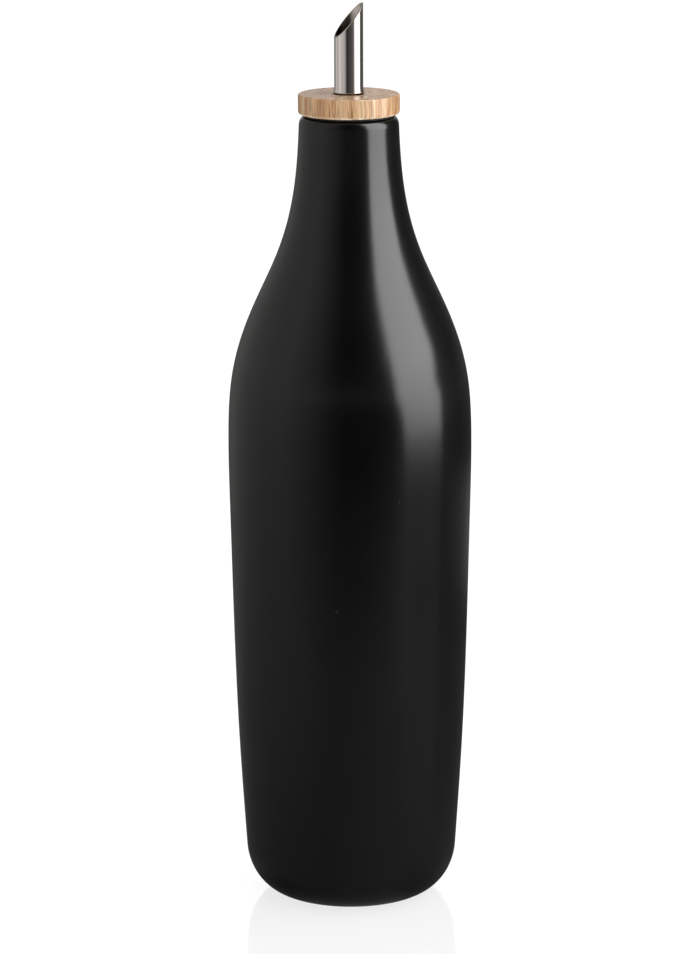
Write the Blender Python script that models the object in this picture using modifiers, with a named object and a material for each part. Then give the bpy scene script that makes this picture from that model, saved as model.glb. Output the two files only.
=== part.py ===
"""Ceramic oil dispenser: a glazed bottle with a bamboo-topped stopper and a steel pouring spout.

Standalone Blender script in metres with +Z up. The origin is on the bottle's axis, where its foot stands.
"""

import math

import bpy
import numpy as np
from mathutils import Matrix

MM = 0.001

# Bottle: the outer radius at each height, from just over the rounded foot to just under the lip
WALL_STATIONS_MM = (
    (16.0, 33.3),
    (50.0, 35.4),
    (90.0, 36.85),
    (125.0, 37.7),
    (150.0, 38.0),
    (170.0, 36.2),
    (188.0, 30.3),
    (206.0, 22.2),
    (224.0, 17.35),
    (250.0, 15.3),
)
FOOT_RADIUS = 20.6 * MM
FOOT_CORNER_HEIGHT = 14.7 * MM
FOOT_RING_INNER_RADIUS = 15.0 * MM
FOOT_RECESS_DEPTH = 1.0 * MM
WALL_THICKNESS = 4.0 * MM
FLOOR_THICKNESS = 5.5 * MM
FLOOR_CORNER_HEIGHT = 12.0 * MM
FLOOR_CORNER_INSET = 12.0 * MM
LIP_HEIGHT = 247.9 * MM
LIP_ROUNDING = 1.3 * MM

# Neighbouring pieces keep this much air between them
CLEARANCE = 0.25 * MM

# Stopper seal: a thin flange on the lip, and the plug that it carries into the neck
FLANGE_RADIUS = 14.2 * MM
FLANGE_THICKNESS = 0.4 * MM
PLUG_TOP_RADIUS = 10.9 * MM
PLUG_END_RADIUS = 10.4 * MM
PLUG_END_HEIGHT = 227.0 * MM
PLUG_END_CHAMFER = 1.0 * MM

# Stopper disc
DISC_RADIUS = 15.7 * MM
DISC_THICKNESS = 6.2 * MM
DISC_TOP_ROUNDING = 0.5 * MM
DISC_BOTTOM_ROUNDING = 1.0 * MM

# Spout: a thin tube, flared where it meets the disc and cut at a slant
TUBE_RADIUS = 4.5 * MM
TUBE_BORE_RADIUS = 3.9 * MM
SHANK_RADIUS = 4.4 * MM
SHANK_END_HEIGHT = 225.0 * MM
FLARE_RADIUS = 4.8 * MM
FLARE_HEIGHT = 2.2 * MM
CUT_HEIGHT = 277.6 * MM  # where the slanted cut crosses the axis
CUT_SLOPE = math.radians(50)
CUT_AZIMUTH = math.radians(15)  # the tip's direction, turned back from +X

BOTTLE_STEPS = 64
STOPPER_STEPS = 48
SHARP_ANGLE = math.radians(35)

FLANGE_UNDERSIDE = LIP_HEIGHT + CLEARANCE
FLANGE_TOP = FLANGE_UNDERSIDE + FLANGE_THICKNESS
DISC_UNDERSIDE = FLANGE_TOP + CLEARANCE
DISC_TOP = DISC_UNDERSIDE + DISC_THICKNESS
SPOUT_HOLE_RADIUS = SHANK_RADIUS + CLEARANCE


def clear_scene():
    """Remove every object that the file starts with."""
    for obj in list(bpy.data.objects):
        bpy.data.objects.remove(obj, do_unlink=True)


def new_collection(name):
    """Make a collection and link it to the scene."""
    collection = bpy.data.collections.new(name)
    bpy.context.scene.collection.children.link(collection)
    return collection


def new_material(name, color, roughness, metallic=0.0):
    """Make a Principled material of one colour."""
    material = bpy.data.materials.new(name)
    material.use_nodes = True
    shader = material.node_tree.nodes["Principled BSDF"]
    shader.inputs["Base Color"].default_value = (*color, 1.0)
    shader.inputs["Roughness"].default_value = roughness
    shader.inputs["Metallic"].default_value = metallic
    return material


def natural_spline(heights, radii):
    """Return radius(height): the natural cubic spline through the stations, straight past either end."""
    heights = np.array(heights)
    radii = np.array(radii)
    gap = np.diff(heights)
    rise = np.diff(radii) / gap
    count = len(heights)

    # One row for each inner station: the slope is the same on both of its sides
    system = np.eye(count)
    target = np.zeros(count)
    for i in range(1, count - 1):
        system[i, i - 1 : i + 2] = gap[i - 1], 2 * (gap[i - 1] + gap[i]), gap[i]
        target[i] = 6 * (rise[i] - rise[i - 1])
    bend = np.linalg.solve(system, target)
    first_slope = rise[0] - gap[0] * bend[1] / 6

    def radius(height):
        if height < heights[0]:
            return radii[0] + first_slope * (height - heights[0])
        i = min(int(np.searchsorted(heights, height, side="right")) - 1, count - 2)
        up = height - heights[i]
        down = heights[i + 1] - height
        straight = (radii[i] * down + radii[i + 1] * up) / gap[i]
        curved = bend[i] * (down**3 / gap[i] - gap[i] * down)
        curved += bend[i + 1] * (up**3 / gap[i] - gap[i] * up)
        return straight + curved / 6

    return radius


wall_radius = natural_spline(*zip(*((z * MM, r * MM) for z, r in WALL_STATIONS_MM)))


def rising_wall(start, corner_height, corner_inset, inward, end, corner_points, side_points):
    """Outline of a wall that eases out of a floor at height start and then follows the bottle's side.

    The corner is a quarter ellipse taken off the side's own line, so the two are tangent.
    """
    outline = []
    for turn in np.linspace(0, math.pi / 2, corner_points + 1):
        z = start + corner_height * (1 - math.cos(turn))
        outline.append((wall_radius(z) - inward - corner_inset * (1 - math.sin(turn)), z))
    for z in np.linspace(start + corner_height, end, side_points + 1)[1:]:
        outline.append((wall_radius(z) - inward, z))
    return outline


def arc(center, radius, start, end, points=4):
    """Outline of an arc from angle start to end, in degrees from +X towards +Z."""
    angles = np.radians(np.linspace(start, end, points + 1))
    return [(center[0] + radius * math.cos(a), center[1] + radius * math.sin(a)) for a in angles]


def turned(name, outline, steps, material, collection, closed=True):
    """Turn an outline of (radius, height) points about the Z axis, with its outer side listed top to bottom."""
    mesh = bpy.data.meshes.new(name)
    count = len(outline)
    edges = [(i, i + 1) for i in range(count - 1)]
    if closed:
        edges.append((count - 1, 0))
    mesh.from_pydata([(r, 0.0, z) for r, z in outline], edges, [])
    obj = bpy.data.objects.new(name, mesh)
    collection.objects.link(obj)
    screw = obj.modifiers.new("Turn", "SCREW")
    screw.axis = "Z"
    screw.steps = steps
    screw.render_steps = steps
    screw.use_merge_vertices = True
    screw.merge_threshold = 0.01 * MM
    mesh.materials.append(material)
    return obj


def apply_modifiers(obj):
    """Replace the object's mesh by what its modifiers make of it, shaded smooth between sharp edges."""
    graph = bpy.context.evaluated_depsgraph_get()
    mesh = bpy.data.meshes.new_from_object(obj.evaluated_get(graph))
    obj.modifiers.clear()
    obj.data = mesh
    mesh.shade_smooth()
    mesh.set_sharp_from_angle(angle=SHARP_ANGLE)


def make_bottle(collection):
    """Hollow bottle of even wall: the outline goes up the inside, over the lip and down the outside."""
    lip_round_start = LIP_HEIGHT - LIP_ROUNDING
    floor_center = [(0.0, FLOOR_THICKNESS)]
    inside = rising_wall(
        FLOOR_THICKNESS,
        FLOOR_CORNER_HEIGHT,
        FLOOR_CORNER_INSET,
        WALL_THICKNESS,
        lip_round_start,
        corner_points=4,
        side_points=19,
    )
    outside = rising_wall(
        0.0,
        FOOT_CORNER_HEIGHT,
        wall_radius(0.0) - FOOT_RADIUS,
        0.0,
        lip_round_start,
        corner_points=7,
        side_points=30,
    )
    lip_radius = wall_radius(lip_round_start)
    inner_center = (lip_radius - WALL_THICKNESS + LIP_ROUNDING, lip_round_start)
    outer_center = (lip_radius - LIP_ROUNDING, lip_round_start)
    lip = arc(inner_center, LIP_ROUNDING, 180, 90)[1:] + arc(outer_center, LIP_ROUNDING, 90, 0)[:-1]
    underside = [
        (FOOT_RING_INNER_RADIUS, 0.0),
        (FOOT_RING_INNER_RADIUS - FOOT_RECESS_DEPTH, FOOT_RECESS_DEPTH),
        (0.0, FOOT_RECESS_DEPTH),
    ]
    outline = floor_center + inside + lip + outside[::-1] + underside
    glaze = new_material("black_glaze", (0.012, 0.012, 0.013), 0.28)
    bottle = turned("bottle", outline, BOTTLE_STEPS, glaze, collection, closed=False)
    apply_modifiers(bottle)


def make_seal(collection):
    """Soft black stopper body: its flange lies on the lip and its plug goes down the neck."""
    outline = [
        (SPOUT_HOLE_RADIUS, FLANGE_TOP),
        (FLANGE_RADIUS, FLANGE_TOP),
        (FLANGE_RADIUS, FLANGE_UNDERSIDE),
        (PLUG_TOP_RADIUS, FLANGE_UNDERSIDE),
        (PLUG_END_RADIUS, PLUG_END_HEIGHT + PLUG_END_CHAMFER),
        (PLUG_END_RADIUS - PLUG_END_CHAMFER, PLUG_END_HEIGHT),
        (SPOUT_HOLE_RADIUS, PLUG_END_HEIGHT),
    ]
    rubber = new_material("black_silicone", (0.02, 0.02, 0.02), 0.6)
    seal = turned("stopper_seal", outline, STOPPER_STEPS, rubber, collection)
    apply_modifiers(seal)


def make_disc(collection):
    """Bamboo disc with eased edges and a hole for the spout."""
    top_center = (DISC_RADIUS - DISC_TOP_ROUNDING, DISC_TOP - DISC_TOP_ROUNDING)
    bottom_center = (DISC_RADIUS - DISC_BOTTOM_ROUNDING, DISC_UNDERSIDE + DISC_BOTTOM_ROUNDING)
    outline = [(SPOUT_HOLE_RADIUS, DISC_TOP)]
    outline += arc(top_center, DISC_TOP_ROUNDING, 90, 0)
    outline += arc(bottom_center, DISC_BOTTOM_ROUNDING, 0, -90)
    outline += [(SPOUT_HOLE_RADIUS, DISC_UNDERSIDE)]
    bamboo = new_material("bamboo", (0.62, 0.41, 0.24), 0.5)
    disc = turned("stopper_disc", outline, STOPPER_STEPS, bamboo, collection)
    apply_modifiers(disc)


def slanted_cutter(collection):
    """Block whose lower face is the plane of the spout's cut."""
    size = 10 * TUBE_RADIUS
    bpy.ops.mesh.primitive_cube_add(size=size)
    cutter = bpy.context.object
    cutter.name = "spout_cutter"
    tilt = Matrix.Rotation(CUT_AZIMUTH, 4, "Z") @ Matrix.Rotation(-CUT_SLOPE, 4, "Y")
    to_lower_face = Matrix.Translation((0.0, 0.0, size / 2))
    cutter.matrix_world = Matrix.Translation((0.0, 0.0, CUT_HEIGHT)) @ tilt @ to_lower_face
    cutter.display_type = "WIRE"
    cutter.hide_render = True
    for other in list(cutter.users_collection):
        other.objects.unlink(cutter)
    collection.objects.link(cutter)
    return cutter


def make_spout(collection, cutters):
    """Steel tube from under the plug to its slanted mouth, with a flare that covers the disc's hole."""
    flare_base = DISC_TOP + CLEARANCE
    uncut_top = CUT_HEIGHT + 2 * TUBE_RADIUS
    outline = [(TUBE_BORE_RADIUS, uncut_top), (TUBE_RADIUS, uncut_top)]

    # The flare widens with the square of the way down, so it leaves the tube with no edge
    for down in np.linspace(0, 1, 5):
        flare = (FLARE_RADIUS - TUBE_RADIUS) * down**2
        outline.append((TUBE_RADIUS + flare, flare_base + FLARE_HEIGHT * (1 - down)))
    outline += [
        (SHANK_RADIUS, flare_base),
        (SHANK_RADIUS, SHANK_END_HEIGHT),
        (TUBE_BORE_RADIUS, SHANK_END_HEIGHT),
    ]
    steel = new_material("brushed_steel", (0.62, 0.6, 0.58), 0.22, metallic=1.0)
    spout = turned("spout", outline, STOPPER_STEPS, steel, collection)
    cut = spout.modifiers.new("Slanted cut", "BOOLEAN")
    cut.operation = "DIFFERENCE"
    cut.object = slanted_cutter(cutters)
    apply_modifiers(spout)


def main():
    clear_scene()
    dispenser = new_collection("oil_dispenser")
    cutters = new_collection("cutters")
    make_bottle(dispenser)
    make_seal(dispenser)
    make_disc(dispenser)
    make_spout(dispenser, cutters)


main()
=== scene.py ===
# %% [markdown]
# # Ceramic oil dispenser
#
# A tall black-glazed bottle, closed by a stopper with a bamboo top and a slant-cut steel pouring spout. The
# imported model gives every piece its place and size. This lesson makes a finer surface for each piece, and
# its finish.

import math

import bpy
import numpy as np
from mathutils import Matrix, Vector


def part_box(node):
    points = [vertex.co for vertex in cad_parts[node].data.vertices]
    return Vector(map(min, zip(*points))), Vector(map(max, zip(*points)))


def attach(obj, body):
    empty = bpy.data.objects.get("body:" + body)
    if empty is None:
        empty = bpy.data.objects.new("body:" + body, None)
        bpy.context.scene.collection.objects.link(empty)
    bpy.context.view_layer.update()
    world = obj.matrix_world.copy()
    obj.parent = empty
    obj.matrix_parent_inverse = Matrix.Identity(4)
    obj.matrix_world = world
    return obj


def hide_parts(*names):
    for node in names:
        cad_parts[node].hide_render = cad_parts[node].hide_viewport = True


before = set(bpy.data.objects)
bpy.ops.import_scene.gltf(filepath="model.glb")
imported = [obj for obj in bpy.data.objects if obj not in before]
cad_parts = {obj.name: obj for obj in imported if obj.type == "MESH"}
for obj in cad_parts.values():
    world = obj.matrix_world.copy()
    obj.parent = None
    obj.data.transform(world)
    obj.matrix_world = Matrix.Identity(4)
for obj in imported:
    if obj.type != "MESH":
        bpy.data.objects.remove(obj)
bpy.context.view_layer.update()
MM = 0.001
print("nodes:", sorted(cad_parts))

# %% [markdown]
# ## Turned surfaces
#
# Everything here was turned, rolled or moulded round one axis. Such a form could be made with the Screw
# modifier, but then nothing could differ round the axis: no pinhole in the glaze, no fibre in the bamboo,
# no slanted mouth. So each piece is a grid of rings worked out with numpy, and a ring may do what it likes
# as it goes round.

# %% Rings to a closed mesh
def ring_mesh(name, points, caps=None):
    """Join a grid of points, ring by ring from the top of the outside down, with its columns anticlockwise.

    With caps, a pair of end points, the first and last rings close on those points. With caps=None, the last
    ring joins the first, as on a washer or a tube. A face goes down its column and then round, so it points
    outwards.
    """
    rings, columns = points.shape[:2]
    index = np.arange(rings * columns).reshape(rings, columns)
    above, below = (index, np.roll(index, -1, axis=0)) if caps is None else (index[:-1], index[1:])
    quads = np.stack([above, below, np.roll(below, -1, axis=1), np.roll(above, -1, axis=1)], axis=-1)
    faces = quads.reshape(-1, 4).tolist()
    vertices = points.reshape(-1, 3)
    if caps is not None:
        vertices = np.vstack([vertices, caps])
        first, last = index[0], index[-1]
        start, end = rings * columns, rings * columns + 1
        faces += np.stack([np.full(columns, start), first, np.roll(first, -1)], axis=-1).tolist()
        faces += np.stack([last, np.full(columns, end), np.roll(last, -1)], axis=-1).tolist()
    mesh = bpy.data.meshes.new(name)
    mesh.from_pydata(vertices.tolist(), [], faces)
    mesh.shade_smooth()
    obj = bpy.data.objects.new(name, mesh)
    bpy.context.scene.collection.objects.link(obj)
    return obj


def turned(outline, angles):
    """Carry an outline of (radius, height) round the axis: x = r cos a, y = r sin a, z = height."""
    radius, height = np.asarray(outline, float).T
    return np.stack(
        [
            radius[:, None] * np.cos(angles),
            radius[:, None] * np.sin(angles),
            np.broadcast_to(height[:, None], (len(height), len(angles))),
        ],
        axis=-1,
    )


def full_circle(columns):
    """Evenly spaced angles round the axis."""
    return np.linspace(0, 2 * math.pi, columns, endpoint=False)


def arc(center, radius, start, end, points=6):
    """Points of an arc: centre plus radius times (cos, sin), from angle start to end in degrees."""
    turn = np.radians(np.linspace(start, end, points + 1))
    return np.stack([center[0] + radius * np.cos(turn), center[1] + radius * np.sin(turn)], axis=-1)


def line(start, end, points):
    """Points evenly spaced between two ends, without the ends themselves."""
    share = np.linspace(0, 1, points + 2)[1:-1, None]
    return np.array(start) * (1 - share) + np.array(end) * share


def place(piece, node, material):
    """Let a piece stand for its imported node, ride on the one body and wear its finish."""
    piece.data.materials.append(material)
    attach(piece, "root")
    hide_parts(node)
    low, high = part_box(node)
    box_size = [round((b - a) / MM, 2) for a, b in zip(low, high)]
    size = [round(side / MM, 2) for side in piece.dimensions]
    print(piece.name, "measures", size, "mm in a box of", box_size, "with", len(piece.data.polygons), "faces")


# %% [markdown]
# ## Shader helper
#
# Every finish is built from a few nodes. This helper adds one, and sets its sockets or its own settings by
# name.

# %% Add a node and set it
def add(tree, kind, **settings):
    """Add a shader node. A setting is a socket if the node has one of that name, and otherwise a property."""
    node = tree.nodes.new("ShaderNode" + kind)
    for name, value in settings.items():
        label = name.replace("_", " ")
        if label in node.inputs:
            node.inputs[label].default_value = value
        else:
            setattr(node, name, value)
    return node


def new_finish(name, **settings):
    """Make a Principled material, and return it with its node tree and shader."""
    material = bpy.data.materials.new(name)
    material.use_nodes = True
    tree = material.node_tree
    shader = tree.nodes["Principled BSDF"]
    for label, value in settings.items():
        shader.inputs[label.replace("_", " ")].default_value = value
    return material, tree, shader


def object_pattern(tree, kind, stretch=(1, 1, 1), lean=(0, 0, 0), **settings):
    """Add a texture on Object coordinates, in metres, drawn out by stretch and turned by lean."""
    place_node = add(tree, "TexCoord")
    scale_node = add(tree, "Mapping", vector_type="TEXTURE", Scale=stretch, Rotation=lean)
    pattern = add(tree, kind, **settings)
    tree.links.new(place_node.outputs["Object"], scale_node.inputs["Vector"])
    tree.links.new(scale_node.outputs["Vector"], pattern.inputs["Vector"])
    return pattern


def graded(tree, source, stops):
    """Add a colour ramp from a list of (position, colour), and return its colour."""
    ramp = add(tree, "ValToRGB")
    first, last = ramp.color_ramp.elements
    first.position, first.color = stops[0][0], (*stops[0][1], 1)
    last.position, last.color = stops[-1][0], (*stops[-1][1], 1)
    for position, color in stops[1:-1]:
        ramp.color_ramp.elements.new(position).color = (*color, 1)
    tree.links.new(source, ramp.inputs["Fac"])
    return ramp.outputs["Color"]


def ranged(tree, source, low, high, start=0.3, end=0.7):
    """Turn a pattern's value from start to end into a number from low to high."""
    change = add(tree, "MapRange", From_Min=start, From_Max=end, To_Min=low, To_Max=high)
    tree.links.new(source, change.inputs["Value"])
    return change.outputs["Result"]


# Where a Mix node of colours keeps its two colours and their mixture
FIRST_COLOR, SECOND_COLOR, MIXED_COLOR = 6, 7, 2


def multiplied(tree, first, second, share=1.0):
    """Multiply two colours. The share, a number or an output, says how much of the second one counts."""
    mix = add(tree, "Mix", data_type="RGBA", blend_type="MULTIPLY")
    if isinstance(share, float):
        mix.inputs["Factor"].default_value = share
    else:
        tree.links.new(share, mix.inputs["Factor"])
    tree.links.new(first, mix.inputs[FIRST_COLOR])
    tree.links.new(second, mix.inputs[SECOND_COLOR])
    return mix.outputs[MIXED_COLOR]


def object_axis(tree, axis):
    """One of the Object coordinates, in metres."""
    where = add(tree, "TexCoord")
    axes = add(tree, "SeparateXYZ")
    tree.links.new(where.outputs["Object"], axes.inputs["Vector"])
    return axes.outputs[axis]


def bumped(tree, source, distance, below=None):
    """Raise the surface by a pattern, at most the distance in metres, on top of the relief below."""
    bump = add(tree, "Bump", Strength=1.0, Distance=distance)
    tree.links.new(source, bump.inputs["Height"])
    if below is not None:
        tree.links.new(below, bump.inputs["Normal"])
    return bump.outputs["Normal"]


# %% [markdown]
# ## Black glaze
#
# The glaze is glass coloured nearly black, on stoneware. Its surface isn't quite level: it lies in low
# waves, with a finer orange peel on them, which softens the edge of a reflection. One clear shader with a
# reflection that is a little rough gives that. The foot's flat ring is wiped clean before firing, or the
# pot would stick to the kiln.

# %% Glaze and bare foot
FOOT_RADIUS = 20.6 * MM
FOOT_RING_INNER_RADIUS = 15.0 * MM
WAVE_HEIGHT = 0.05 * MM
PEEL_HEIGHT = 0.012 * MM
# The foot is bare below the first height, and glazed above the second
BARE_BELOW, GLAZED_ABOVE = 0.02 * MM, 0.12 * MM
# Depths of a pit, in mm, where the fleck of clay begins and where it is full
FLECK_START, FLECK_FULL = 0.1, 0.22
FLECK_COLOR = (0.016, 0.0145, 0.0135, 1)


def black_glaze():
    """Dark glass with low waves, orange peel and a slightly uneven gloss, and bare clay on the foot."""
    material, tree, shader = new_finish("black_glaze", IOR=1.46)
    waves = object_pattern(tree, "TexNoise", Scale=55, Detail=2, Roughness=0.4)
    peel = object_pattern(tree, "TexNoise", Scale=420, Detail=2, Roughness=0.5)
    cloud = object_pattern(tree, "TexNoise", Scale=28, Detail=4, Roughness=0.6)
    blacks = [(0.3, (0.0013, 0.0013, 0.0015)), (0.7, (0.0022, 0.0021, 0.0021))]
    glass = graded(tree, cloud.outputs["Fac"], blacks)
    gloss = ranged(tree, cloud.outputs["Fac"], 0.18, 0.22)
    relief = bumped(tree, peel.outputs["Fac"], PEEL_HEIGHT)
    relief = bumped(tree, waves.outputs["Fac"], WAVE_HEIGHT, relief)

    # The recess lies higher than the ring round it, so it keeps its glaze
    bare = ranged(tree, object_axis(tree, "Z"), 1, 0, BARE_BELOW, GLAZED_ABOVE)
    grains = object_pattern(tree, "TexNoise", Scale=2600, Detail=3, Roughness=0.6)
    clay = graded(tree, grains.outputs["Fac"], [(0.35, (0.17, 0.14, 0.115)), (0.65, (0.29, 0.25, 0.21))])

    # The clay shows through at the bottom of a deep pit
    fleck = add(tree, "Mix", data_type="RGBA")
    depth = add(tree, "Attribute", attribute_name="pit")
    shown = ranged(tree, depth.outputs["Fac"], 0, 1, FLECK_START, FLECK_FULL)
    tree.links.new(shown, fleck.inputs["Factor"])
    tree.links.new(glass, fleck.inputs[FIRST_COLOR])
    fleck.inputs[SECOND_COLOR].default_value = FLECK_COLOR

    color = add(tree, "Mix", data_type="RGBA")
    rough = add(tree, "Mix")
    tree.links.new(bare, color.inputs["Factor"])
    tree.links.new(fleck.outputs[MIXED_COLOR], color.inputs[FIRST_COLOR])
    tree.links.new(clay, color.inputs[SECOND_COLOR])
    tree.links.new(bare, rough.inputs["Factor"])
    tree.links.new(gloss, rough.inputs["A"])
    rough.inputs["B"].default_value = 0.9
    tree.links.new(color.outputs[MIXED_COLOR], shader.inputs["Base Color"])
    tree.links.new(rough.outputs[0], shader.inputs["Roughness"])
    tree.links.new(relief, shader.inputs["Normal"])
    return material


# %% [markdown]
# ## The bottle's outline
#
# The bottle was cast in a mould, and its side is one flowing line: it swells slowly up from the foot, turns
# in over the shoulder and runs up to a narrow neck. A natural cubic spline through a few (height, radius)
# stations is such a line, because it is the curve that a thin strip of wood takes when it is held at those
# points. The foot is a quarter of an ellipse taken off that line, so the two meet with no edge.

# %% The side's spline
WALL_STATIONS_MM = (
    (16.0, 33.3),
    (50.0, 35.4),
    (90.0, 36.85),
    (125.0, 37.7),
    (150.0, 38.0),
    (170.0, 36.2),
    (188.0, 30.3),
    (206.0, 22.2),
    (224.0, 17.35),
    (250.0, 15.3),
)


def natural_spline(stations):
    """Return radius(heights), a cubic between each two stations, with slope and bend joined.

    There is no bend at either end, and below the first station the line goes on straight.
    """
    heights, radii = np.array(stations).T
    gap = np.diff(heights)
    rise = np.diff(radii) / gap
    count = len(heights)
    inner = np.arange(1, count - 1)
    system = np.eye(count)
    system[inner, inner - 1] = gap[:-1]
    system[inner, inner] = 2 * (gap[:-1] + gap[1:])
    system[inner, inner + 1] = gap[1:]
    target = np.zeros(count)
    target[inner] = 6 * np.diff(rise)
    bend = np.linalg.solve(system, target)
    first_slope = rise[0] - gap[0] * bend[1] / 6

    def radius(height):
        height = np.asarray(height, float)
        i = np.clip(np.searchsorted(heights, height, side="right") - 1, 0, count - 2)
        up, down = height - heights[i], heights[i + 1] - height
        curve = (radii[i] * down + radii[i + 1] * up) / gap[i]
        curve += bend[i] * (down**3 / gap[i] - gap[i] * down) / 6
        curve += bend[i + 1] * (up**3 / gap[i] - gap[i] * up) / 6
        straight = radii[0] + first_slope * (height - heights[0])
        return np.where(height < heights[0], straight, curve)

    return radius


wall_radius = natural_spline(np.array(WALL_STATIONS_MM) * MM)
belly_heights = np.linspace(130, 170, 400) * MM
widest = wall_radius(belly_heights).max()
print("widest radius", round(widest / MM, 3), "mm")

# %% [markdown]
# ## Pinholes in the glaze
#
# A bubble that bursts late in the firing leaves a pinhole: a little pit with a low rim, about a millimetre
# wide. The glaze is thin at the bottom of a deep one, so the clay shows through there as a paler fleck. The
# front of this bottle has four. A bump texture could only shade them, so the grid gets extra rings and
# columns where they are, close together at the middle of each, and real pits are pressed into it.

# %% Where the pinholes are, and their pits
# Each is degrees from the front, then its height, radius and depth in mm
PINHOLES = np.array(
    [
        (-6.9, 99.9, 0.50, 0.26),
        (23.6, 134.2, 0.34, 0.08),
        (-4.0, 162.6, 0.34, 0.16),
        (-11.5, 117.4, 0.34, 0.16),
    ]
)
pinhole_angles = np.radians(PINHOLES[:, 0] - 90)
pinhole_heights, pinhole_radii, pinhole_depths = PINHOLES[:, 1:].T * MM
# How far the extra grid lines lie from the middle of a pinhole, on both sides of it
near = np.array([0.09, 0.18, 0.27, 0.36, 0.46, 0.58, 0.74, 0.95, 1.2, 1.5]) * MM
near = np.concatenate([-near[::-1], [0], near])
LEAST_GAP = 0.1 * MM
# The low rim's height as a share of the depth, and its distance and width in radii of the pit
RIM_SHARE, RIM_DISTANCE, RIM_WIDTH = 0.05, 1.7, 0.5


def with_extra(regular, extra, least_gap):
    """Merge two sorted sets of grid lines, and drop a regular one where it is too close to an extra one."""
    clear = np.abs(regular[:, None] - extra[None, :]).min(axis=1) > least_gap
    extra = np.sort(extra)
    extra = extra[np.concatenate([[True], np.diff(extra) > least_gap / 2])]
    return np.sort(np.concatenate([regular[clear], extra]))


def pits(angles, radius, height):
    """How far each point of the outside is pushed out: minus a bell curve of its distance from the pinhole.

    A second and much lower bell curve, of the distance from a circle round the pit, is the rim.
    """
    push = np.zeros((len(height), len(angles)))
    for angle, middle, size, depth in zip(pinhole_angles, pinhole_heights, pinhole_radii, pinhole_depths):
        turn = (angles[None, :] - angle + math.pi) % (2 * math.pi) - math.pi
        distance = np.hypot(radius[:, None] * turn, height[:, None] - middle) / size
        push -= depth * np.exp(-(distance**2))
        push += RIM_SHARE * depth * np.exp(-(((distance - RIM_DISTANCE) / RIM_WIDTH) ** 2))
    return push


# %% [markdown]
# ## The bottle
#
# The outline goes from the middle of the floor up the inside, over the rounded lip, down the outside, round
# the foot and over the underside to its middle. Only the outside gets the pits, and an attribute called pit
# stores how deep each point of them lies, for the finish.

# %% Make the bottle
FOOT_CORNER_HEIGHT = 14.7 * MM
FOOT_RECESS_DEPTH = 1.0 * MM
WALL_THICKNESS = 4.0 * MM
FLOOR_THICKNESS = 5.5 * MM
FLOOR_CORNER = 12.0 * MM
LIP_HEIGHT = 247.9 * MM
LIP_ROUNDING = 1.3 * MM
LIP_OUTER_EASE = 2.6 * MM
INSIDE_RINGS = 50
OUTSIDE_RINGS = 130
INSIDE_CORNER_RINGS = 12
FOOT_CORNER_RINGS = 28
BOTTLE_COLUMNS = 160


def rising_wall(start, corner_height, corner_inset, inward, side_heights, corner_rings):
    """Outline of a wall that eases out of a floor.

    First comes a quarter ellipse, taken off the side's own line, and then the side.
    """
    turn = np.linspace(0, math.pi / 2, corner_rings + 1)
    corner = start + corner_height * (1 - np.cos(turn))
    corner_radius = wall_radius(corner) - inward - corner_inset * (1 - np.sin(turn))
    side_radius = wall_radius(side_heights) - inward
    return np.stack([np.append(corner_radius, side_radius), np.append(corner, side_heights)], axis=-1)


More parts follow.
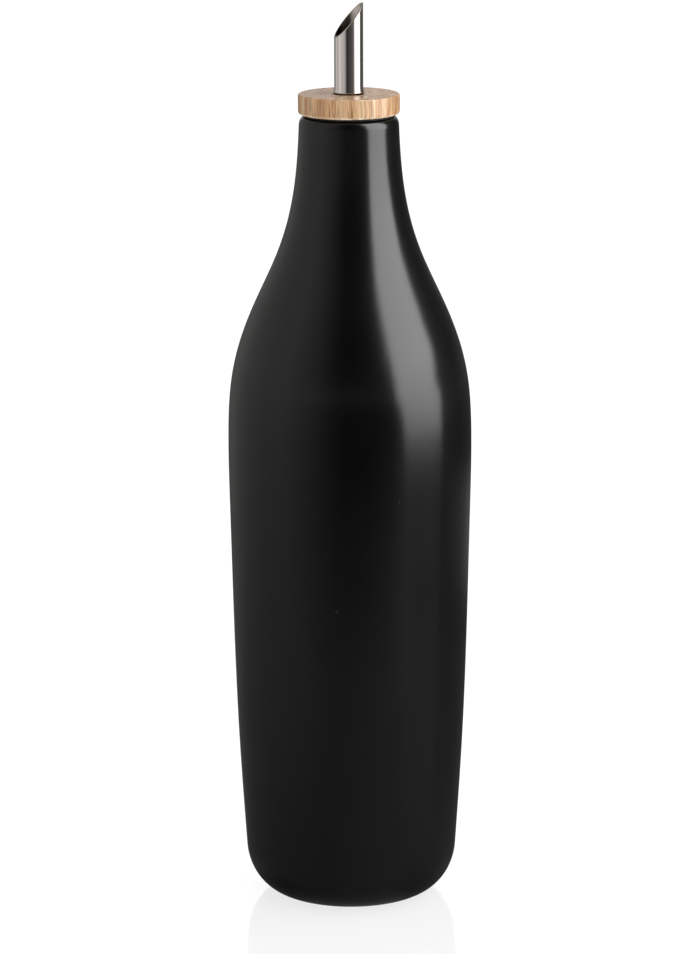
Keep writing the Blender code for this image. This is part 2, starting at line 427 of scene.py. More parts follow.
def make_bottle():
    """Turn the bottle's outline, and press the pinholes into its outside."""
    lip_start = LIP_HEIGHT - LIP_ROUNDING
    ease_start = LIP_HEIGHT - LIP_OUTER_EASE
    lip_radius = wall_radius(lip_start)
    inside_end = FLOOR_THICKNESS + FLOOR_CORNER
    inside_heights = np.linspace(inside_end, lip_start, INSIDE_RINGS)[1:]
    outside_heights = np.linspace(FOOT_CORNER_HEIGHT, ease_start, OUTSIDE_RINGS)[1:]
    extra_heights = (pinhole_heights[:, None] + near).ravel()
    outside_heights = with_extra(outside_heights, extra_heights, LEAST_GAP)
    inside = rising_wall(
        FLOOR_THICKNESS, FLOOR_CORNER, FLOOR_CORNER, WALL_THICKNESS, inside_heights, INSIDE_CORNER_RINGS
    )
    foot_inset = wall_radius(0.0) - FOOT_RADIUS
    outside = rising_wall(0.0, FOOT_CORNER_HEIGHT, foot_inset, 0.0, outside_heights, FOOT_CORNER_RINGS)
    inner_center = (lip_radius - WALL_THICKNESS + LIP_ROUNDING, lip_start)
    ease = np.radians(np.linspace(90, 0, 13))[:-1]
    ease_heights = ease_start + LIP_OUTER_EASE * np.sin(ease)
    ease_radii = wall_radius(ease_heights) - LIP_ROUNDING * (1 - np.cos(ease))
    outer_ease = np.stack([ease_radii, ease_heights], axis=-1)
    lip = np.vstack([arc(inner_center, LIP_ROUNDING, 180, 90)[1:], outer_ease])
    recess_edge = FOOT_RING_INNER_RADIUS - FOOT_RECESS_DEPTH
    underside = np.vstack(
        [
            line((FOOT_RADIUS, 0), (FOOT_RING_INNER_RADIUS, 0), 3),
            [(FOOT_RING_INNER_RADIUS, 0)],
            line((FOOT_RING_INNER_RADIUS, 0), (recess_edge, FOOT_RECESS_DEPTH), 3),
            [(recess_edge, FOOT_RECESS_DEPTH)],
            line((recess_edge, FOOT_RECESS_DEPTH), (0, FOOT_RECESS_DEPTH), 4),
        ]
    )
    floor = line((0, FLOOR_THICKNESS), inside[0], 4)
    outline = np.vstack([floor, inside, lip, outside[::-1], underside])
    outline[:, 0] *= min(1.0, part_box("bottle")[1].x / outline[:, 0].max())

    extra_angles = ((pinhole_angles[:, None] + near / widest) % (2 * math.pi)).ravel()
    angles = with_extra(full_circle(BOTTLE_COLUMNS), extra_angles, LEAST_GAP / widest)
    points = turned(outline, angles)
    first = len(floor) + len(inside) + len(lip)
    rows = slice(first, first + len(outside))
    radius, height = outline[rows].T
    push = pits(angles, radius, height)
    points[rows, :, 0] += push * np.cos(angles)
    points[rows, :, 1] += push * np.sin(angles)
    caps = [(0, 0, FLOOR_THICKNESS), (0, 0, FOOT_RECESS_DEPTH)]
    print("bottle grid", points.shape[:2], "deepest pit", round(-push.min() / MM, 3), "mm")
    bottle = ring_mesh("glazed_bottle", points, caps)
    depth = np.zeros(len(bottle.data.vertices))
    depth[rows.start * len(angles) : rows.stop * len(angles)] = -push.ravel() / MM
    bottle.data.attributes.new("pit", "FLOAT", "POINT").data.foreach_set("value", depth)
    return bottle


bottle = make_bottle()
place(bottle, "bottle", black_glaze())

# %% [markdown]
# ## The stopper's silicone body
#
# Only a thin dark line of it shows, between the lip and the bamboo: the flange of a moulded plug. Silicone
# is matt, with a fine bloom of dust on it, and its moulded edges are a little round.

# %% Silicone finish and the seal
CLEARANCE = 0.25 * MM
FLANGE_RADIUS = 14.2 * MM
FLANGE_THICKNESS = 0.4 * MM
PLUG_TOP_RADIUS = 10.9 * MM
PLUG_END_RADIUS = 10.4 * MM
PLUG_END_HEIGHT = 227.0 * MM
PLUG_END_ROUNDING = 1.0 * MM
SHANK_RADIUS = 4.4 * MM
SEAL_COLUMNS = 128
HOLE_RADIUS = SHANK_RADIUS + CLEARANCE
FLANGE_UNDERSIDE = LIP_HEIGHT + CLEARANCE
FLANGE_TOP = FLANGE_UNDERSIDE + FLANGE_THICKNESS


def black_silicone():
    """Matt black rubber with a fine dusty mottle."""
    material, tree, shader = new_finish("black_silicone", IOR=1.42)
    bloom = object_pattern(tree, "TexNoise", Scale=900, Detail=5, Roughness=0.65)
    blacks = [(0.3, (0.006, 0.006, 0.006)), (0.75, (0.016, 0.016, 0.017))]
    color = graded(tree, bloom.outputs["Fac"], blacks)
    tree.links.new(color, shader.inputs["Base Color"])
    tree.links.new(ranged(tree, bloom.outputs["Fac"], 0.5, 0.7), shader.inputs["Roughness"])
    tree.links.new(bumped(tree, bloom.outputs["Fac"], 0.01 * MM), shader.inputs["Normal"])
    return material


def make_seal():
    """Turn the seal: a round-edged flange, a tapered plug below it and the spout's hole through both."""
    edge = FLANGE_THICKNESS / 2
    end_center = (PLUG_END_RADIUS - PLUG_END_ROUNDING, PLUG_END_HEIGHT + PLUG_END_ROUNDING)
    outline = np.vstack(
        [
            [(HOLE_RADIUS, FLANGE_TOP)],
            line((HOLE_RADIUS, FLANGE_TOP), (FLANGE_RADIUS - edge, FLANGE_TOP), 4),
            arc((FLANGE_RADIUS - edge, FLANGE_TOP - edge), edge, 90, -90, 8),
            line((FLANGE_RADIUS - edge, FLANGE_UNDERSIDE), (PLUG_TOP_RADIUS, FLANGE_UNDERSIDE), 2),
            [(PLUG_TOP_RADIUS, FLANGE_UNDERSIDE)],
            line((PLUG_TOP_RADIUS, FLANGE_UNDERSIDE), (PLUG_END_RADIUS, end_center[1]), 8),
            arc(end_center, PLUG_END_ROUNDING, 0, -90),
            line((end_center[0], PLUG_END_HEIGHT), (HOLE_RADIUS, PLUG_END_HEIGHT), 2),
            [(HOLE_RADIUS, PLUG_END_HEIGHT)],
            line((HOLE_RADIUS, PLUG_END_HEIGHT), (HOLE_RADIUS, FLANGE_TOP), 8),
        ]
    )
    return ring_mesh("silicone_seal", turned(outline, full_circle(SEAL_COLUMNS)))


seal = make_seal()
place(seal, "stopper_seal", black_silicone())

# %% [markdown]
# ## Bamboo
#
# The disc was turned from bamboo with its fibres nearly upright, so its side shows fine streaks, and its
# top shows the cut ends of the fibres as specks. Noise that is stretched along the height gives both at
# once: on the side it looks like streaks, and on top, where it is cut across, like specks. Cut ends look
# darker than the side does. The lower edge gets a paler colour, which is a painted sheen of the pale table
# below it. So one more ramp runs up the height. A satin polish lets the top face mirror the tube a little.

# %% Bamboo finish
DISC_UNDERSIDE = FLANGE_TOP + CLEARANCE
DISC_THICKNESS = 6.2 * MM
DISC_TOP = DISC_UNDERSIDE + DISC_THICKNESS
UPRIGHT = (1, 1, 28)
FIBRE_LEAN = (0, math.radians(-3.5), 0)


def bamboo():
    """Bands of warm straw colour, thin brown fibres in clumps, and one more tint for each height, with a
    painted sheen on the lower edge.
    """
    material, tree, shader = new_finish("bamboo", IOR=1.48)
    bands = object_pattern(tree, "TexNoise", UPRIGHT, Scale=420, Detail=2, Roughness=0.5)
    fine = object_pattern(tree, "TexNoise", UPRIGHT, Scale=2600, Detail=2, Roughness=0.6)
    fibres = object_pattern(tree, "TexNoise", UPRIGHT, FIBRE_LEAN, Scale=1300, Detail=3, Roughness=0.6)
    clumps = object_pattern(tree, "TexNoise", UPRIGHT, Scale=190, Detail=1, Roughness=0.5)
    straw = graded(
        tree,
        bands.outputs["Fac"],
        [(0.34, (0.70, 0.48, 0.31)), (0.5, (0.92, 0.69, 0.48)), (0.66, (1.0, 0.89, 0.70))],
    )
    threads = graded(tree, fine.outputs["Fac"], [(0.38, (0.66, 0.60, 0.54)), (0.58, (1.0, 1.0, 1.0))])
    streaks = graded(tree, fibres.outputs["Fac"], [(0.39, (0.40, 0.32, 0.26)), (0.47, (1.0, 1.0, 1.0))])
    share = ranged(tree, clumps.outputs["Fac"], 0.25, 1.0, 0.4, 0.58)
    height = ranged(tree, object_axis(tree, "Z"), 0, 1, DISC_UNDERSIDE, DISC_TOP)
    # The lower edge's tint is a painted sheen, paler than the side; the top's tint is the darker cut ends
    painted_sheen_tint, side_tint, top_tint = (1.0, 1.0, 1.0), (0.65, 0.52, 0.393), (0.60, 0.508, 0.46)
    tint_and_painted_sheen = graded(
        tree,
        height,
        [(0.0, painted_sheen_tint), (0.07, painted_sheen_tint), (0.15, side_tint), (0.97, side_tint), (0.995, top_tint)],
    )
    color = multiplied(tree, multiplied(tree, straw, threads), streaks, share)
    tree.links.new(multiplied(tree, color, tint_and_painted_sheen), shader.inputs["Base Color"])
    tree.links.new(ranged(tree, fibres.outputs["Fac"], 0.34, 0.22), shader.inputs["Roughness"])
    relief = bumped(tree, fine.outputs["Fac"], 0.01 * MM)
    tree.links.new(bumped(tree, fibres.outputs["Fac"], 0.02 * MM, relief), shader.inputs["Normal"])
    return material


# %% [markdown]
# ## The bamboo disc
#
# Its edges were eased with sandpaper, the lower one more than the upper one. The softer wood between the
# fibres wears a little lower than they do, so the side has very shallow upright grooves. They are a sum of
# waves round the rim.

# %% Make the disc
DISC_RADIUS = 15.7 * MM
TOP_ROUNDING = 0.5 * MM
BOTTOM_ROUNDING = 1.0 * MM
GROOVE_DEPTH = 0.02 * MM
GROOVE_WAVES = np.array([61, 97, 131, 173])
GROOVE_SHIFTS = np.array([0.4, 1.9, 3.1, 5.2])
DISC_COLUMNS = 720


def grooves(angles):
    """Depth of the grooves round the rim, from nothing to the full depth, as a mean of four shifted waves."""
    waves = np.cos(GROOVE_WAVES[:, None] * angles + GROOVE_SHIFTS[:, None]).mean(axis=0)
    return GROOVE_DEPTH * (1 - waves) / 2


def make_disc():
    """Turn the disc with a hole for the spout, and press the grooves into its side."""
    top_center = (DISC_RADIUS - TOP_ROUNDING, DISC_TOP - TOP_ROUNDING)
    bottom_center = (DISC_RADIUS - BOTTOM_ROUNDING, DISC_UNDERSIDE + BOTTOM_ROUNDING)
    outline = np.vstack(
        [
            [(HOLE_RADIUS, DISC_TOP)],
            line((HOLE_RADIUS, DISC_TOP), (top_center[0], DISC_TOP), 12),
            arc(top_center, TOP_ROUNDING, 90, 0, 8),
            line((DISC_RADIUS, top_center[1]), (DISC_RADIUS, bottom_center[1]), 6),
            arc(bottom_center, BOTTOM_ROUNDING, 0, -90, 10),
            line((bottom_center[0], DISC_UNDERSIDE), (HOLE_RADIUS, DISC_UNDERSIDE), 8),
            [(HOLE_RADIUS, DISC_UNDERSIDE)],
            line((HOLE_RADIUS, DISC_UNDERSIDE), (HOLE_RADIUS, DISC_TOP), 5),
        ]
    )
    angles = full_circle(DISC_COLUMNS)
    points = turned(outline, angles)
    on_side = np.clip((outline[:, 0] - top_center[0]) / TOP_ROUNDING, 0, 1)
    shrink = 1 - on_side[:, None] * grooves(angles) / DISC_RADIUS
    points[..., :2] *= shrink[..., None]
    return ring_mesh("bamboo_disc", points)


disc = make_disc()
place(disc, "stopper_disc", bamboo())

# %% [markdown]
# ## Steel
#
# The spout is drawn stainless tube. Pulling it through the die leaves faint lines along it, so a reflection
# is sharp along the tube and a little smeared across it. Fine noise, stretched along the tube, gives those
# lines as relief.

# %% Steel finish
ALONG = (1, 1, 80)
# Inside the first radius is the bore's finish, and outside the second is the outside's
BORE_FINISH, OUTSIDE_FINISH = 4.1 * MM, 4.3 * MM
# Painted shade darkens the bore's colour most below the first height, and least above the second
BORE_SHADE_DEEPEST, BORE_SHADE_FAINTEST = 275 * MM, 281 * MM
BORE_ROUGHNESS = 0.3


def drawn_steel():
    """Steel with faint lines along the tube and a cloudy gloss, duller in the bore, with painted shade
    darkening it down inside.
    """
    material, tree, shader = new_finish("drawn_steel", Metallic=1.0)
    lines = object_pattern(tree, "TexNoise", ALONG, Scale=3200, Detail=3, Roughness=0.6)
    clouds = object_pattern(tree, "TexNoise", Scale=160, Detail=4, Roughness=0.6)
    color = graded(tree, lines.outputs["Fac"], [(0.3, (0.68, 0.64, 0.605)), (0.7, (0.80, 0.76, 0.72))])
    across = add(tree, "VectorMath", operation="MULTIPLY")
    across.inputs[1].default_value = (1, 1, 0)
    length = add(tree, "VectorMath", operation="LENGTH")
    tree.links.new(add(tree, "TexCoord").outputs["Object"], across.inputs[0])
    tree.links.new(across.outputs["Vector"], length.inputs[0])
    outside = ranged(tree, length.outputs["Value"], 0, 1, BORE_FINISH, OUTSIDE_FINISH)
    # Painted shade: the bore's colour darkens down the tube, where less light gets in
    painted_shade_height = ranged(tree, object_axis(tree, "Z"), 0, 1, BORE_SHADE_DEEPEST, BORE_SHADE_FAINTEST)
    shade = graded(tree, painted_shade_height, [(0.0, (0.33, 0.30, 0.27)), (1.0, (0.86, 0.83, 0.80))])
    inside = add(tree, "Math", operation="SUBTRACT")
    inside.inputs[0].default_value = 1
    tree.links.new(outside, inside.inputs[1])
    tree.links.new(multiplied(tree, color, shade, inside.outputs["Value"]), shader.inputs["Base Color"])
    gloss = add(tree, "Mix")
    gloss.inputs["A"].default_value = BORE_ROUGHNESS
    tree.links.new(outside, gloss.inputs["Factor"])
    tree.links.new(ranged(tree, clouds.outputs["Fac"], 0.09, 0.15), gloss.inputs["B"])
    tree.links.new(gloss.outputs[0], shader.inputs["Roughness"])
    tree.links.new(bumped(tree, lines.outputs["Fac"], 0.001 * MM), shader.inputs["Normal"])
    return material


# %% [markdown]
# ## The spout
#
# The tube's mouth is cut at 50 degrees, with the tip to the right and a little to the back. A Boolean would
# leave a hard edge, so here each ring between the flare and the mouth leans a little more than the one
# below it, and the last ones lie in the slanted plane. A few rings between the outer and the inner wall
# round the rim off. At the foot the tube flares out in a curve, down to a rounded lower edge.

# %% Make the spout
TUBE_RADIUS = 4.5 * MM
BORE_RADIUS = 3.9 * MM
SHANK_END_HEIGHT = 225.0 * MM
FLARE_RADIUS = 4.8 * MM
FLARE_HEIGHT = 2.2 * MM
CUT_HEIGHT = 277.6 * MM
CUT_SLOPE = math.radians(50)
CUT_AZIMUTH = math.radians(15)
RIM_ROUNDING = 0.12 * MM
FLARE_EDGE = 0.35 * MM
TUBE_RINGS = 34
FLARE_RINGS = 16
HIDDEN_RINGS = 10
SPOUT_COLUMNS = 320
# Two rings lie this many roundings below the rim, which keeps the rounding small
UNDER_RIM = np.array([1.2, 2.4])
# The rim's corner points lie this far in from the wall and down from the cut
CORNER_IN, CORNER_DOWN = RIM_ROUNDING * 0.3, RIM_ROUNDING * 0.4


def make_spout():
    """Rings of radius r at height level + lean * tan(slope) * r * cos(a - azimuth).

    The lean is 0 from the flare down, and grows to 1 at the cut.
    """
    flare_base = DISC_TOP + CLEARANCE
    flare_top = flare_base + FLARE_HEIGHT
    share = np.concatenate([[1, 1], np.linspace(1, 0, TUBE_RINGS - 1)[1:]])
    tube_heights = flare_top + share * (CUT_HEIGHT - flare_top)
    tube = np.stack([np.full(TUBE_RINGS, TUBE_RADIUS), tube_heights, share], axis=-1)
    tube[:2, 1] -= RIM_ROUNDING * UNDER_RIM
    down = np.linspace(0, 1, FLARE_RINGS + 1)[1:]
    flare_width = TUBE_RADIUS + (FLARE_RADIUS - TUBE_RADIUS) * down**2
    flare = np.stack([flare_width, flare_top - (FLARE_HEIGHT - FLARE_EDGE) * down, 0 * down], axis=-1)
    edge = arc((FLARE_RADIUS - FLARE_EDGE, flare_base + FLARE_EDGE), FLARE_EDGE, 0, -90)[1:]
    edge = np.column_stack([edge, np.zeros(len(edge))])
    shank_heights = np.linspace(flare_base, SHANK_END_HEIGHT, HIDDEN_RINGS)
    shank = np.array([(SHANK_RADIUS, z, 0) for z in shank_heights])
    bore_end_heights = np.linspace(SHANK_END_HEIGHT, flare_top, HIDDEN_RINGS)
    bore_end = np.array([(BORE_RADIUS, z, 0) for z in bore_end_heights])
    bore = tube[::-1][1:] * (0, 1, 1) + (BORE_RADIUS, 0, 0)
    middle = np.linspace(TUBE_RADIUS - RIM_ROUNDING, BORE_RADIUS + RIM_ROUNDING, 3)
    rim = [(BORE_RADIUS + CORNER_IN, CUT_HEIGHT - CORNER_DOWN, 1)]
    rim += [(r, CUT_HEIGHT, 1) for r in middle[::-1]]
    rim += [(TUBE_RADIUS - CORNER_IN, CUT_HEIGHT - CORNER_DOWN, 1)]
    radius, level, lean = np.vstack([tube, flare, edge, shank, bore_end, bore, rim]).T[..., None]
    angles = full_circle(SPOUT_COLUMNS)
    slant = math.tan(CUT_SLOPE) * radius * np.cos(angles - CUT_AZIMUTH)
    points = np.stack([radius * np.cos(angles), radius * np.sin(angles), level + lean * slant], axis=-1)
    print("spout tip at", round(points[..., 2].max() / MM, 2), "mm")
    return ring_mesh("steel_spout", points)


spout = make_spout()
place(spout, "spout", drawn_steel())

# %% [markdown]
# ## Camera
#
# The photo was taken with a long lens, a little from above. Its place and lens come from a fit of the
# bottle's outline, so that the widths, the ellipse of the disc and the curve of the foot all agree.

# %% Make the camera
CAMERA_DISTANCE = 1.3
CAMERA_HEIGHT = 0.4307
CAMERA_SIDE = -0.0033
CAMERA_PITCH = math.radians(12.8525)
CAMERA_ROLL = 0.0037
LENS_MM = 160.42

camera_data = bpy.data.cameras.new("camera")
camera_data.lens = LENS_MM
camera_data.clip_start = 0.05
camera_data.clip_end = 60
camera = bpy.data.objects.new("camera", camera_data)
camera.location = (CAMERA_SIDE, -CAMERA_DISTANCE, CAMERA_HEIGHT)
# A roll about the world's Y axis also turns the view a little sideways, which the last angle takes back
camera.rotation_euler = (math.pi / 2 - CAMERA_PITCH, CAMERA_ROLL, -CAMERA_ROLL * math.tan(CAMERA_PITCH))
bpy.context.scene.collection.objects.link(camera)
bpy.context.scene.camera = camera
bpy.context.scene.view_settings.view_transform = "Standard"
print("camera at", [round(value, 4) for value in camera.location])

# %% [markdown]
# ## Studio
#
# Black glaze shows nothing but what it mirrors, so the light is a set of soft cards round the bottle, which
# only show in reflections. Each card stores its own brightness in a colour attribute, which fades towards
# its edges, so one material serves them all.

# %% How a card glows
def glow_material(name, sampled=True):
    """Light as bright as the colour attribute called glow, added to whatever lies behind the card."""
    material = bpy.data.materials.new(name)
    material.use_nodes = True
    tree = material.node_tree
    tree.nodes.clear()
    glow = add(tree, "Attribute", attribute_name="glow")
    light = add(tree, "Emission")
    behind = add(tree, "BsdfTransparent")
    both = add(tree, "AddShader")
    output = add(tree, "OutputMaterial")
    tree.links.new(glow.outputs["Color"], light.inputs["Color"])
    tree.links.new(light.outputs["Emission"], both.inputs[0])
    tree.links.new(behind.outputs["BSDF"], both.inputs[1])
    tree.links.new(both.outputs["Shader"], output.inputs["Surface"])
    if not sampled:
        material.cycles.emission_sampling = "NONE"
    return material


def sheet_mesh(name, points, glow, material):
    """Join a grid of points to an open sheet, with the colour glow at each point."""
    rows, columns = points.shape[:2]
    index = np.arange(rows * columns).reshape(rows, columns)
    faces = np.stack([index[:-1, :-1], index[1:, :-1], index[1:, 1:], index[:-1, 1:]], axis=-1)
    mesh = bpy.data.meshes.new(name)
    mesh.from_pydata(points.reshape(-1, 3).tolist(), [], faces.reshape(-1, 4).tolist())
    colors = np.ones((rows * columns, 4))
    colors[:, :3] = glow.reshape(-1, 3)
    attribute = mesh.attributes.new("glow", "FLOAT_COLOR", "POINT")
    attribute.data.foreach_set("color", colors.ravel())
    mesh.materials.append(material)
    obj = bpy.data.objects.new(name, mesh)
    bpy.context.scene.collection.objects.link(obj)
    obj.visible_camera = False
    obj.visible_diffuse = False
    obj.visible_shadow = False
    return obj


# %% [markdown]
# ## Bent cards
#
# A card is bent round the bottle's axis. Its brightness comes off two broken lines, one round the axis and
# one up the height, and its grid has a line at every knot of them, so no corner is lost. Its side edges can
# be moved height by height, because a highlight's edge on a curved bottle is only right when the card's
# edge follows it.

# %% How a card is bent
CARD_COLUMNS = 61
CARD_ROWS = 33
# Degrees from a card's middle, beyond which its edge moves in full
FULL_MOVE = 20


def with_knots(knots, count):
    """Evenly spaced values from the first knot to the last, with every knot among them."""
    knots = [knot[0] for knot in knots]
    return np.unique(np.concatenate([np.linspace(min(knots), max(knots), count), knots]))


def read_off(values, knots):
    """Share of the full brightness at each value, off the broken line through the knots."""
    return np.interp(values, *np.array(sorted(knots)).T)


def bent_card(name, distance, around, upwards, color, moves=((0, 0, 0),)):
    """Card bent round the bottle's axis, with its brightness off two broken lines.

    The line called around goes by degrees from the front to the right, and upwards goes by height in metres.
    Moves lists (height, degrees that the first edge moves, degrees that the last edge moves). The middle of
    the card stays, and between the two the move grows evenly.
    """
    rows = with_knots(list(upwards) + list(moves), CARD_ROWS)
    turn, height = np.meshgrid(with_knots(around, CARD_COLUMNS), rows)
    glow = read_off(turn, around) * read_off(height, upwards)
    levels, first_moves, last_moves = np.array(sorted(moves), float).T
    middle = (around[0][0] + around[-1][0]) / 2
    outwards = (turn - middle) / FULL_MOVE
    turn = turn + np.clip(-outwards, 0, 1) * np.interp(height, levels, first_moves)
    turn = turn + np.clip(outwards, 0, 1) * np.interp(height, levels, last_moves)
    bearing = np.radians(turn)
    points = np.stack([distance * np.sin(bearing), -distance * np.cos(bearing), height], axis=-1)
    return sheet_mesh(name, points, glow[..., None] * np.array(color), card_light)


def light_only(card, receivers):
    """Let a card light only the receivers, which is Blender's light linking."""
    group = bpy.data.collections.new(card.name + "_receivers")
    for obj in receivers:
        group.objects.link(obj)
    card.light_linking.receiver_collection = group


card_light = glow_material("card_light")
print("all cards share", card_light.name)

# %% [markdown]
# ## Cards round the bottle
#
# A bright tall card to the right gives the long highlight, and a wide one to the left the grey sheen there.
# Cards are see-through, so their light adds up. A faint one stands low behind the bright one, a dim one
# beyond its outer end, and a strip just above the table, for the right edge of the bottle. Two more fill
# in: one in front, high up, and one far behind. Every list of knots pairs degrees with a brightness, or a
# height in metres with one.

# %% Make the cards round the bottle
right_edges = [(40, 0), (45, 1), (80, 1), (95, 0.92), (99, 0)]
right_rise = [(-0.16, 0.012), (0, 0.02), (0.04, 0.035), (0.055, 0.06), (0.068, 0.095), (0.08, 0.22)]
right_rise += [(0.095, 0.45), (0.135, 0.66), (0.22, 0.88), (0.3, 1), (2.0, 1)]
right_moves = [(0.05, 9.5, -4.5), (0.12, 7.9, -4.5), (0.157, 5.7, -4), (0.178, 3.3, -4), (0.188, 2.1, -7.5)]
right_moves += [(0.2, 1.5, -8.5), (0.21, 1.5, -8.5), (0.24, 1.7, -4.5), (0.28, 0.5, -2.5), (0.31, 0.5, -2.2)]
right_moves += [(0.335, -0.5, -3.5), (0.36, -1.3, -0.7)]
right_card = bent_card("right_card", 0.43, right_edges, right_rise, (6.6, 6.6, 6.6), right_moves)

low_edges = [(12, 0), (34, 0.3), (47, 1), (52, 1), (60, 0)]
low_rise = [(-0.1, 0), (-0.03, 0.85), (0, 1), (0.05, 1), (0.075, 0.5), (0.1, 0)]
low_card = bent_card("low_card", 0.44, low_edges, low_rise, (0.2, 0.2, 0.2))

dim_edges = [(94, 0), (100, 1.3), (110, 1.1), (122, 0.62), (150, 0.62), (178, 0.4), (185, 0)]
dim_rise = [(0, 0), (0.03, 0.35), (0.06, 0.5), (0.09, 0.65), (0.12, 1.05), (0.15, 1.05), (0.19, 0.75)]
dim_rise += [(2.0, 0.75)]
dim_card = bent_card("dim_card", 0.45, dim_edges, dim_rise, (0.13, 0.13, 0.13))

rim_edges = [(85, 0), (100, 0.5), (118, 1), (160, 1), (178, 0)]
rim_rise = [(-0.03, 0), (-0.005, 1), (0.021, 1), (0.042, 0)]
rim_card = bent_card("rim_card", 0.46, rim_edges, rim_rise, (0.15, 0.15, 0.15))

left_edges = [(-175, 0), (-135, 0.6), (-100, 0.85), (-62, 1), (-36, 0.55), (-25, 0.3), (-8, 0)]
left_rise = [(-0.1, 0.06), (-0.03, 0.17), (0, 0.36), (0.05, 0.64), (0.14, 0.84), (0.2, 0.95), (0.24, 0.97)]
left_rise += [(1.2, 0.97), (1.4, 0)]
left_card = bent_card("left_card", 0.36, left_edges, left_rise, (0.61, 0.60, 0.585))

front_edges = [(-60, 0), (-30, 1), (30, 1), (60, 0)]
front_rise = [(0.17, 0), (0.2, 1), (0.25, 1), (0.28, 0)]
front_card = bent_card("front_card", 0.5, front_edges, front_rise, (0.12, 0.12, 0.12))

back_edges = [(155, 0), (162, 1), (198, 1), (205, 0)]
back_rise = [(0.05, 0), (0.2, 1), (2.2, 1), (2.6, 0)]
back_card = bent_card("back_card", 5.0, back_edges, back_rise, (0.5, 0.5, 0.5))
print("cards stand round the bottle")

# %% [markdown]
# ## Cards round the spout
#
# The steel tube is a much narrower mirror than the bottle, and shows a finer play of light and dark. So it
# has a ring of light of its own, which lights nothing else.

# %% Make the spout's ring
spout_around = [(-180, 0.25), (-140, 0.25), (-122, 0.4), (-108, 0.72), (-96, 0.42), (-85, 0.58), (-75, 0.82)]
spout_around += [(-66, 0.66), (-57, 0.58), (-40, 0.53), (-32, 0.46), (-25, 0.28), (-18, 0.05), (-10, 0)]
spout_around += [(-2, 0.03), (14, 0.055), (21, 0.07), (30, 0.09), (38, 0.15), (46, 0.5), (52, 2.4)]
spout_around += [(92, 2.4), (98, 0.6), (106, 0.1), (116, 0.06), (132, 0.05), (157, 0.25), (180, 0.25)]
spout_rise = [(-0.1, 0.4), (0.1, 1), (0.5, 1), (0.9, 0.4)]
spout_ring = bent_card("spout_ring", 0.45, spout_around, spout_rise, (1, 0.97, 0.94))
light_only(spout_ring, [spout])
print("ring of light stands round the spout")

# %% [markdown]
# ## Table glow
#
# The glaze mirrors the pale table too, mostly low down on the bottle. That glow is a flat disc of light,
# which only reflections see. It fades outwards, and it is darker close to the foot.

# %% Make the table's glow
TABLE_GLOW = 0.16
TABLE_GLOW_HEIGHT = -2 * MM


def disc_points(radii, height, columns=97):
    """Grid of a flat disc: each radius times (cos, sin) of the angle."""
    turn, out = np.meshgrid(np.linspace(0, 2 * math.pi, columns), radii)
    return np.stack([out * np.cos(turn), out * np.sin(turn), np.full_like(out, height)], axis=-1), out


table_fade = [(0, 1), (0.28, 1), (0.37, 0.6), (0.52, 0)]
table_around = [(-180, 0.3), (-122, 0.47), (-96, 0.85), (-75, 1.05), (-57, 1.12), (-40, 1.15), (-24, 1)]
table_around += [(-9, 1.09), (6, 1.25), (21, 1.4), (36, 1.5), (54, 1.25), (71, 1.08), (92, 0.95), (116, 0.5)]
table_around += [(150, 0.3), (180, 0.3)]
# How much of the glow the foot takes away, by distance and by direction: most of it beside the foot
foot_fade = [(0, 1), (0.034, 1), (0.043, 0.5), (0.055, 0.3), (0.09, 0.12), (0.13, 0)]
foot_around = [(-180, 0.5), (-100, 0.8), (-50, 0.8), (-25, 0.35), (0, 0.25), (30, 0.35), (50, 0.7)]
foot_around += [(180, 0.6)]
points, out = disc_points(with_knots(table_fade + foot_fade, CARD_ROWS), TABLE_GLOW_HEIGHT)
turn = np.degrees(np.arctan2(points[..., 0], -points[..., 1]))
table_light = TABLE_GLOW * read_off(out, table_fade) * read_off(turn, table_around)
table_light *= 1 - read_off(out, foot_fade) * read_off(turn, foot_around)
table = sheet_mesh("table_glow", points, table_light[..., None] * np.ones(3), card_light)
for card in (right_card, low_card, dim_card, rim_card, left_card, front_card, back_card, table):
    light_only(card, [bottle, seal, disc])
print("table glows out to", max(table_fade)[0], "m")

# %% [markdown]
# ## Dome
#
# A large pale dome, brighter to the right, lights what is matt: the bamboo, the silicone and the bare clay.
# No reflection shows it. Its brightness goes by the angle to the bright side.

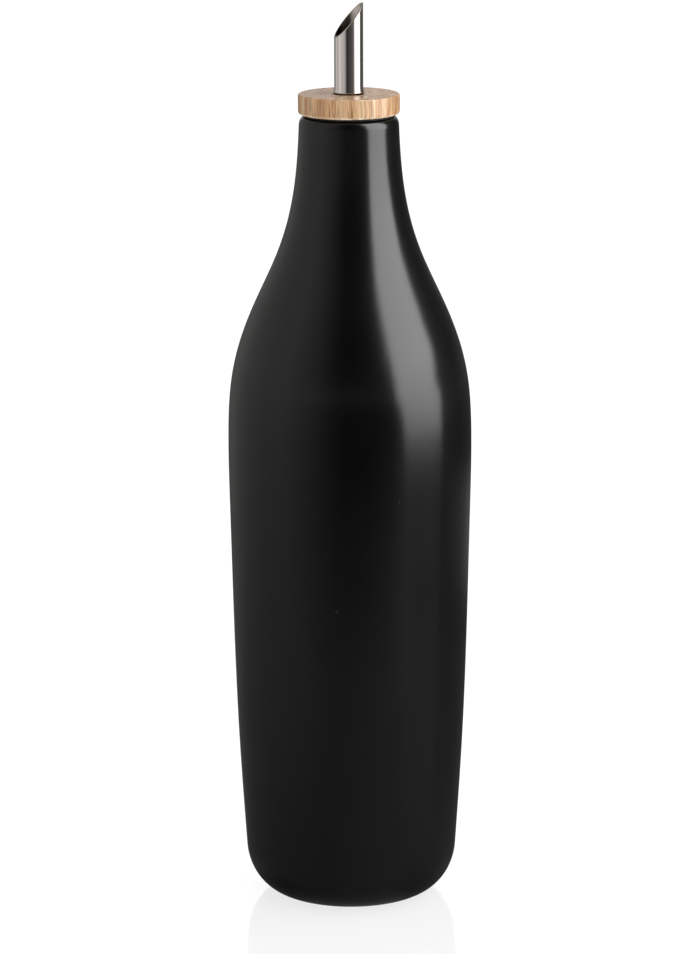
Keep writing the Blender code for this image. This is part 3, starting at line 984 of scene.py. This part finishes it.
# %% Make the dome
DOME_RADIUS = 12.0
BRIGHT_SIDE = np.array((0.93, -0.26, 0.26))
turn, rise = np.meshgrid(np.linspace(0, 2 * math.pi, 97), np.linspace(-math.pi / 2, math.pi / 2, 49))
directions = np.stack([np.cos(turn) * np.cos(rise), np.sin(turn) * np.cos(rise), np.sin(rise)], axis=-1)
brightness = read_off(directions @ BRIGHT_SIDE, [(-1, 0.82), (0, 0.74), (0.6, 1.25), (1, 3.7)])
dome_light = glow_material("dome_light", sampled=False)
dome = sheet_mesh("dome", DOME_RADIUS * directions, brightness[..., None] * np.ones(3), dome_light)
dome.visible_glossy = False
dome.visible_diffuse = True
print("dome shines from", round(brightness.min(), 2), "to", round(brightness.max(), 2))

# %% [markdown]
# ## Floor
#
# The floor is a white, polished light table: it glows, so no shadow falls on it, and the bottle's foot is
# mirrored in its clear coat. What it mirrors beside the foot is a white wall all round, and light linking
# keeps that wall's light off the bottle.

# %% Make the floor and the white wall
FLOOR_RADIUS = 9
FLOOR_HEIGHT = -0.2 * MM

floor_material = new_finish(
    "pale_floor",
    Base_Color=(0.16, 0.16, 0.16, 1),
    Roughness=0.8,
    Specular_IOR_Level=0.0,
    Coat_Weight=0.75,
    Coat_Roughness=0.04,
    Emission_Color=(1, 1, 1, 1),
    Emission_Strength=0.90,
)[0]
floor_material.cycles.emission_sampling = "NONE"
points = disc_points(np.linspace(0, FLOOR_RADIUS, 19), FLOOR_HEIGHT)[0]
floor = sheet_mesh("floor", points, np.zeros(points.shape), floor_material)
floor.visible_camera = True
floor.visible_diffuse = True
floor.visible_shadow = True
floor.visible_glossy = False

wall_edges = [(0, 1), (360, 1)]
wall_rise = [(0.0, 1), (4.0, 1), (5.0, 0)]
white_wall = bent_card("white_wall", 8.0, wall_edges, wall_rise, (1.05, 1.05, 1.05))
light_only(white_wall, [floor])
print("floor is", 2 * FLOOR_RADIUS, "m across")

# %% [markdown]
# ## World
#
# Beyond the floor the world is white to the camera. It is nearly black to everything else, so it adds
# hardly any light of its own.

# %% Make the world
ROOM_GLOW = 0.02
world = bpy.data.worlds.new("studio")
bpy.context.scene.world = world
world.use_nodes = True
tree = world.node_tree
tree.nodes.clear()
path = add(tree, "LightPath")
room = add(tree, "Background", Color=(1, 1, 1, 1), Strength=ROOM_GLOW)
backdrop = add(tree, "Background", Color=(1, 1, 1, 1), Strength=1.0)
pick = add(tree, "MixShader")
output = add(tree, "OutputWorld")
tree.links.new(path.outputs["Is Camera Ray"], pick.inputs["Fac"])
tree.links.new(room.outputs["Background"], pick.inputs[1])
tree.links.new(backdrop.outputs["Background"], pick.inputs[2])
tree.links.new(pick.outputs["Shader"], output.inputs["Surface"])
print("studio ready")
